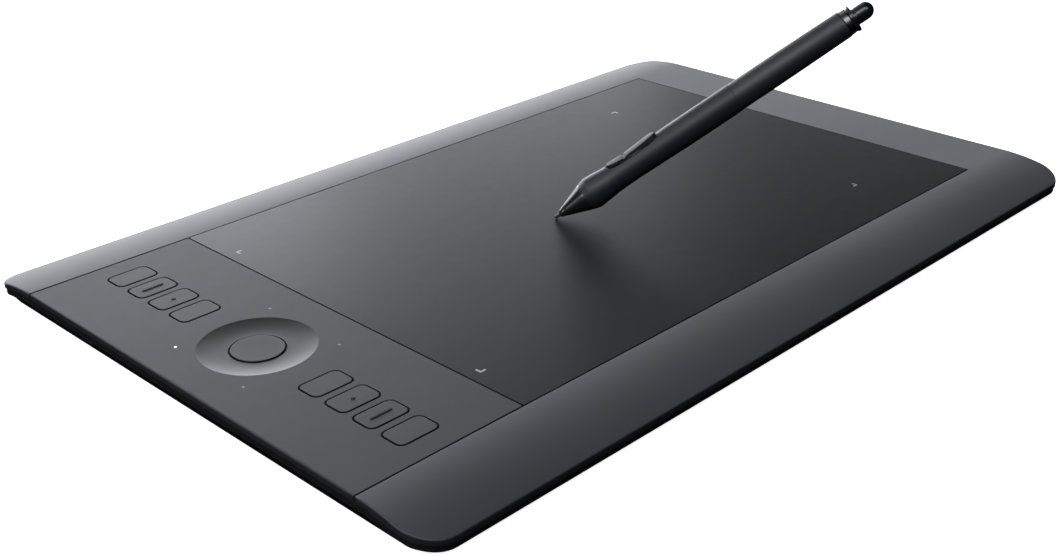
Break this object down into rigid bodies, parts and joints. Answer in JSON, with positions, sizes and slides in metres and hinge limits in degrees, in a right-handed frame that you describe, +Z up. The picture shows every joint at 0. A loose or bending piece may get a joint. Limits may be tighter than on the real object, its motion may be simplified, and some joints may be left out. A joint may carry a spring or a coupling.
{
  "type": "pen drawing tablet",
  "caption": "Slim desktop pen drawing tablet with a column of press keys, a round touch ring and a battery-free pen standing on its drawing sheet.",
  "frame": {"origin": "on the desk, under the middle of the tablet", "axes": "+X along the long side, away from the key column; +Y to the back edge; +Z up out of the drawing sheet"},
  "size_m": [0.38, 0.251, 0.0975],
  "materials": {
    "soft_touch_case": "fine satin soft-touch",
    "key_panel_plastic": "fine satin",
    "sheet_film": "micro-textured matt film",
    "lower_case": "fine spark texture",
    "key_caps": "fine satin",
    "key_ring": "satin",
    "foot_rubber": "matt",
    "screw_steel": "zinc",
    "circuit_board": "solder mask",
    "plated_metal": "tin plate",
    "ribbon_film": "polyimide film",
    "light_guide": "clear, lit from below",
    "pen_rubber": "soft matt",
    "pen_barrel": "fine satin",
    "pen_gloss": "gloss black",
    "pen_switch_plastic": "semi-gloss",
    "pen_accent": "satin chrome",
    "pen_inner": "plain",
    "coil_copper": "enamelled wire on ferrite"
  },
  "bodies": {
    "tablet": {"top_case": "soft_touch_case", "key_panel": "key_panel_plastic", "drawing_sheet": "sheet_film", "bottom_case": "lower_case", "sensor_board": "circuit_board", "shield_plate": "plated_metal", "main_board": "circuit_board", "usb_inlet": "plated_metal", "key_board": "circuit_board", "dome_switches": "plated_metal", "status_leds": "light_guide", "light_guides": "light_guide", "sensor_ribbon": "ribbon_film", "key_ribbon": "ribbon_film", "touch_ring": "key_ring", "rubber_feet": "foot_rubber", "case_screws": "screw_steel"},
    "key_1_cap": {"key_1": "key_caps"},
    "key_2_cap": {"key_2": "key_caps"},
    "key_3_cap": {"key_3": "key_caps"},
    "key_4_cap": {"key_4": "key_caps"},
    "key_5_cap": {"key_5": "key_caps"},
    "key_6_cap": {"key_6": "key_caps"},
    "key_7_cap": {"key_7": "key_caps"},
    "key_8_cap": {"key_8": "key_caps"},
    "ring_button_cap": {"ring_button": "key_caps"},
    "pen": {"nose_cone": "pen_gloss", "grip_sleeve": "pen_rubber", "upper_barrel": "pen_barrel", "pen_carrier": "pen_inner", "pen_coil": "coil_copper", "pen_board": "circuit_board", "nib_sensor": "plated_metal", "eraser_sensor": "plated_metal", "switch_contacts": "plated_metal", "switch_pin": "screw_steel", "accent_ring": "pen_accent", "end_collar": "pen_gloss"},
    "nib_body": {"nib": "pen_inner"},
    "switch_body": {"pen_switch": "pen_switch_plastic"},
    "eraser_body": {"eraser": "pen_rubber"}
  },
  "joints": [
    {"name": "key_1_press", "type": "slide", "parent": "tablet", "child": "key_1_cap", "axis": [0, 0, -1], "range_m": [0, 0.0006], "stiffness_N_per_m": 400, "springref_m": -0.0007},
    {"name": "key_2_press", "type": "slide", "parent": "tablet", "child": "key_2_cap", "axis": [0, 0, -1], "range_m": [0, 0.0006], "stiffness_N_per_m": 400, "springref_m": -0.0007},
    {"name": "key_3_press", "type": "slide", "parent": "tablet", "child": "key_3_cap", "axis": [0, 0, -1], "range_m": [0, 0.0006], "stiffness_N_per_m": 400, "springref_m": -0.0007},
    {"name": "key_4_press", "type": "slide", "parent": "tablet", "child": "key_4_cap", "axis": [0, 0, -1], "range_m": [0, 0.0006], "stiffness_N_per_m": 400, "springref_m": -0.0007},
    {"name": "key_5_press", "type": "slide", "parent": "tablet", "child": "key_5_cap", "axis": [0, 0, -1], "range_m": [0, 0.0006], "stiffness_N_per_m": 400, "springref_m": -0.0007},
    {"name": "key_6_press", "type": "slide", "parent": "tablet", "child": "key_6_cap", "axis": [0, 0, -1], "range_m": [0, 0.0006], "stiffness_N_per_m": 400, "springref_m": -0.0007},
    {"name": "key_7_press", "type": "slide", "parent": "tablet", "child": "key_7_cap", "axis": [0, 0, -1], "range_m": [0, 0.0006], "stiffness_N_per_m": 400, "springref_m": -0.0007},
    {"name": "key_8_press", "type": "slide", "parent": "tablet", "child": "key_8_cap", "axis": [0, 0, -1], "range_m": [0, 0.0006], "stiffness_N_per_m": 400, "springref_m": -0.0007},
    {"name": "ring_button_press", "type": "slide", "parent": "tablet", "child": "ring_button_cap", "axis": [0, 0, -1], "range_m": [0, 0.0006], "stiffness_N_per_m": 500, "springref_m": -0.0007},
    {"name": "pen_lift", "type": "slide", "parent": "tablet", "child": "pen", "axis": [0, 0, 1], "range_m": [0, 0.06]},
    {"name": "nib_press", "type": "slide", "parent": "pen", "child": "nib_body", "axis": [0.6434, -0.5304, 0.5519], "range_m": [0, 0.0005], "stiffness_N_per_m": 1500, "springref_m": -0.0005},
    {"name": "eraser_press", "type": "slide", "parent": "pen", "child": "eraser_body", "axis": [-0.6434, 0.5304, -0.5519], "range_m": [0, 0.0008], "stiffness_N_per_m": 1000, "springref_m": -0.0005},
    {"name": "switch_rock", "type": "hinge", "parent": "pen", "child": "switch_body", "pos_m": [0.01988, -0.01963, 0.03732], "axis": [-0.7328, -0.6353, 0.2438], "range_deg": [-2.5, 2.5], "stiffness_Nm_per_rad": 0.4}
  ]
}
